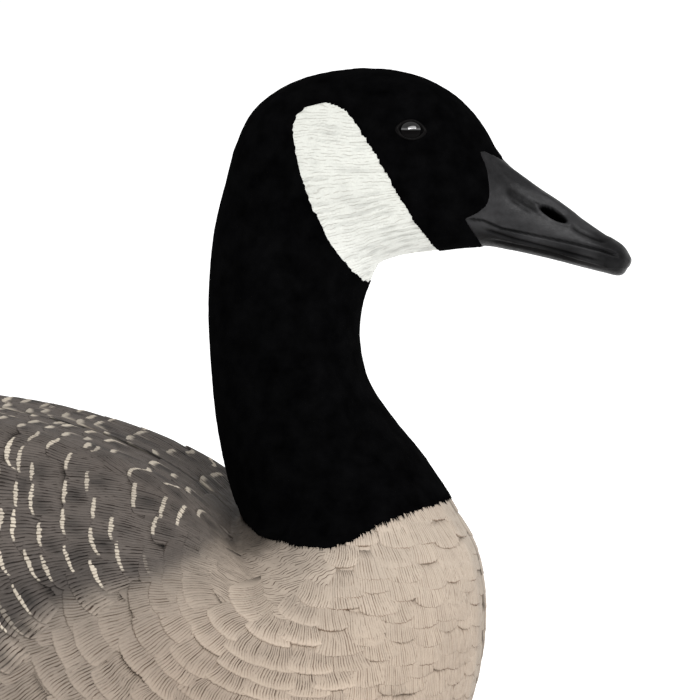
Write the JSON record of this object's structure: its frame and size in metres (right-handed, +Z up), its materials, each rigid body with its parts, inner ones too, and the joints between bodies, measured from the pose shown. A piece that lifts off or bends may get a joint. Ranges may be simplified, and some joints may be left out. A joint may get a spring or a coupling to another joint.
{
  "type": "goose decoy",
  "caption": "Life-size goose decoy, moulded in one piece with an upright neck, folded wings and a flat underside, with glossy set-in eyes.",
  "frame": {"origin": "on the flat underside, below the middle of the body", "axes": "+X forward, the way the bill points; +Y to the bird's left; +Z up"},
  "size_m": [0.6632, 0.2436, 0.3131],
  "materials": {
    "painted_plastic": "carved feathers under matt airbrushed paint",
    "flocking": "short velvety black flock on the head and neck",
    "bill_paint": "satin charcoal",
    "eye_gloss": "polished near-black"
  },
  "bodies": {
    "root": {"moulded_goose": "painted_plastic", "right_eye": "eye_gloss", "left_eye": "eye_gloss"}
  },
  "joints": []
}
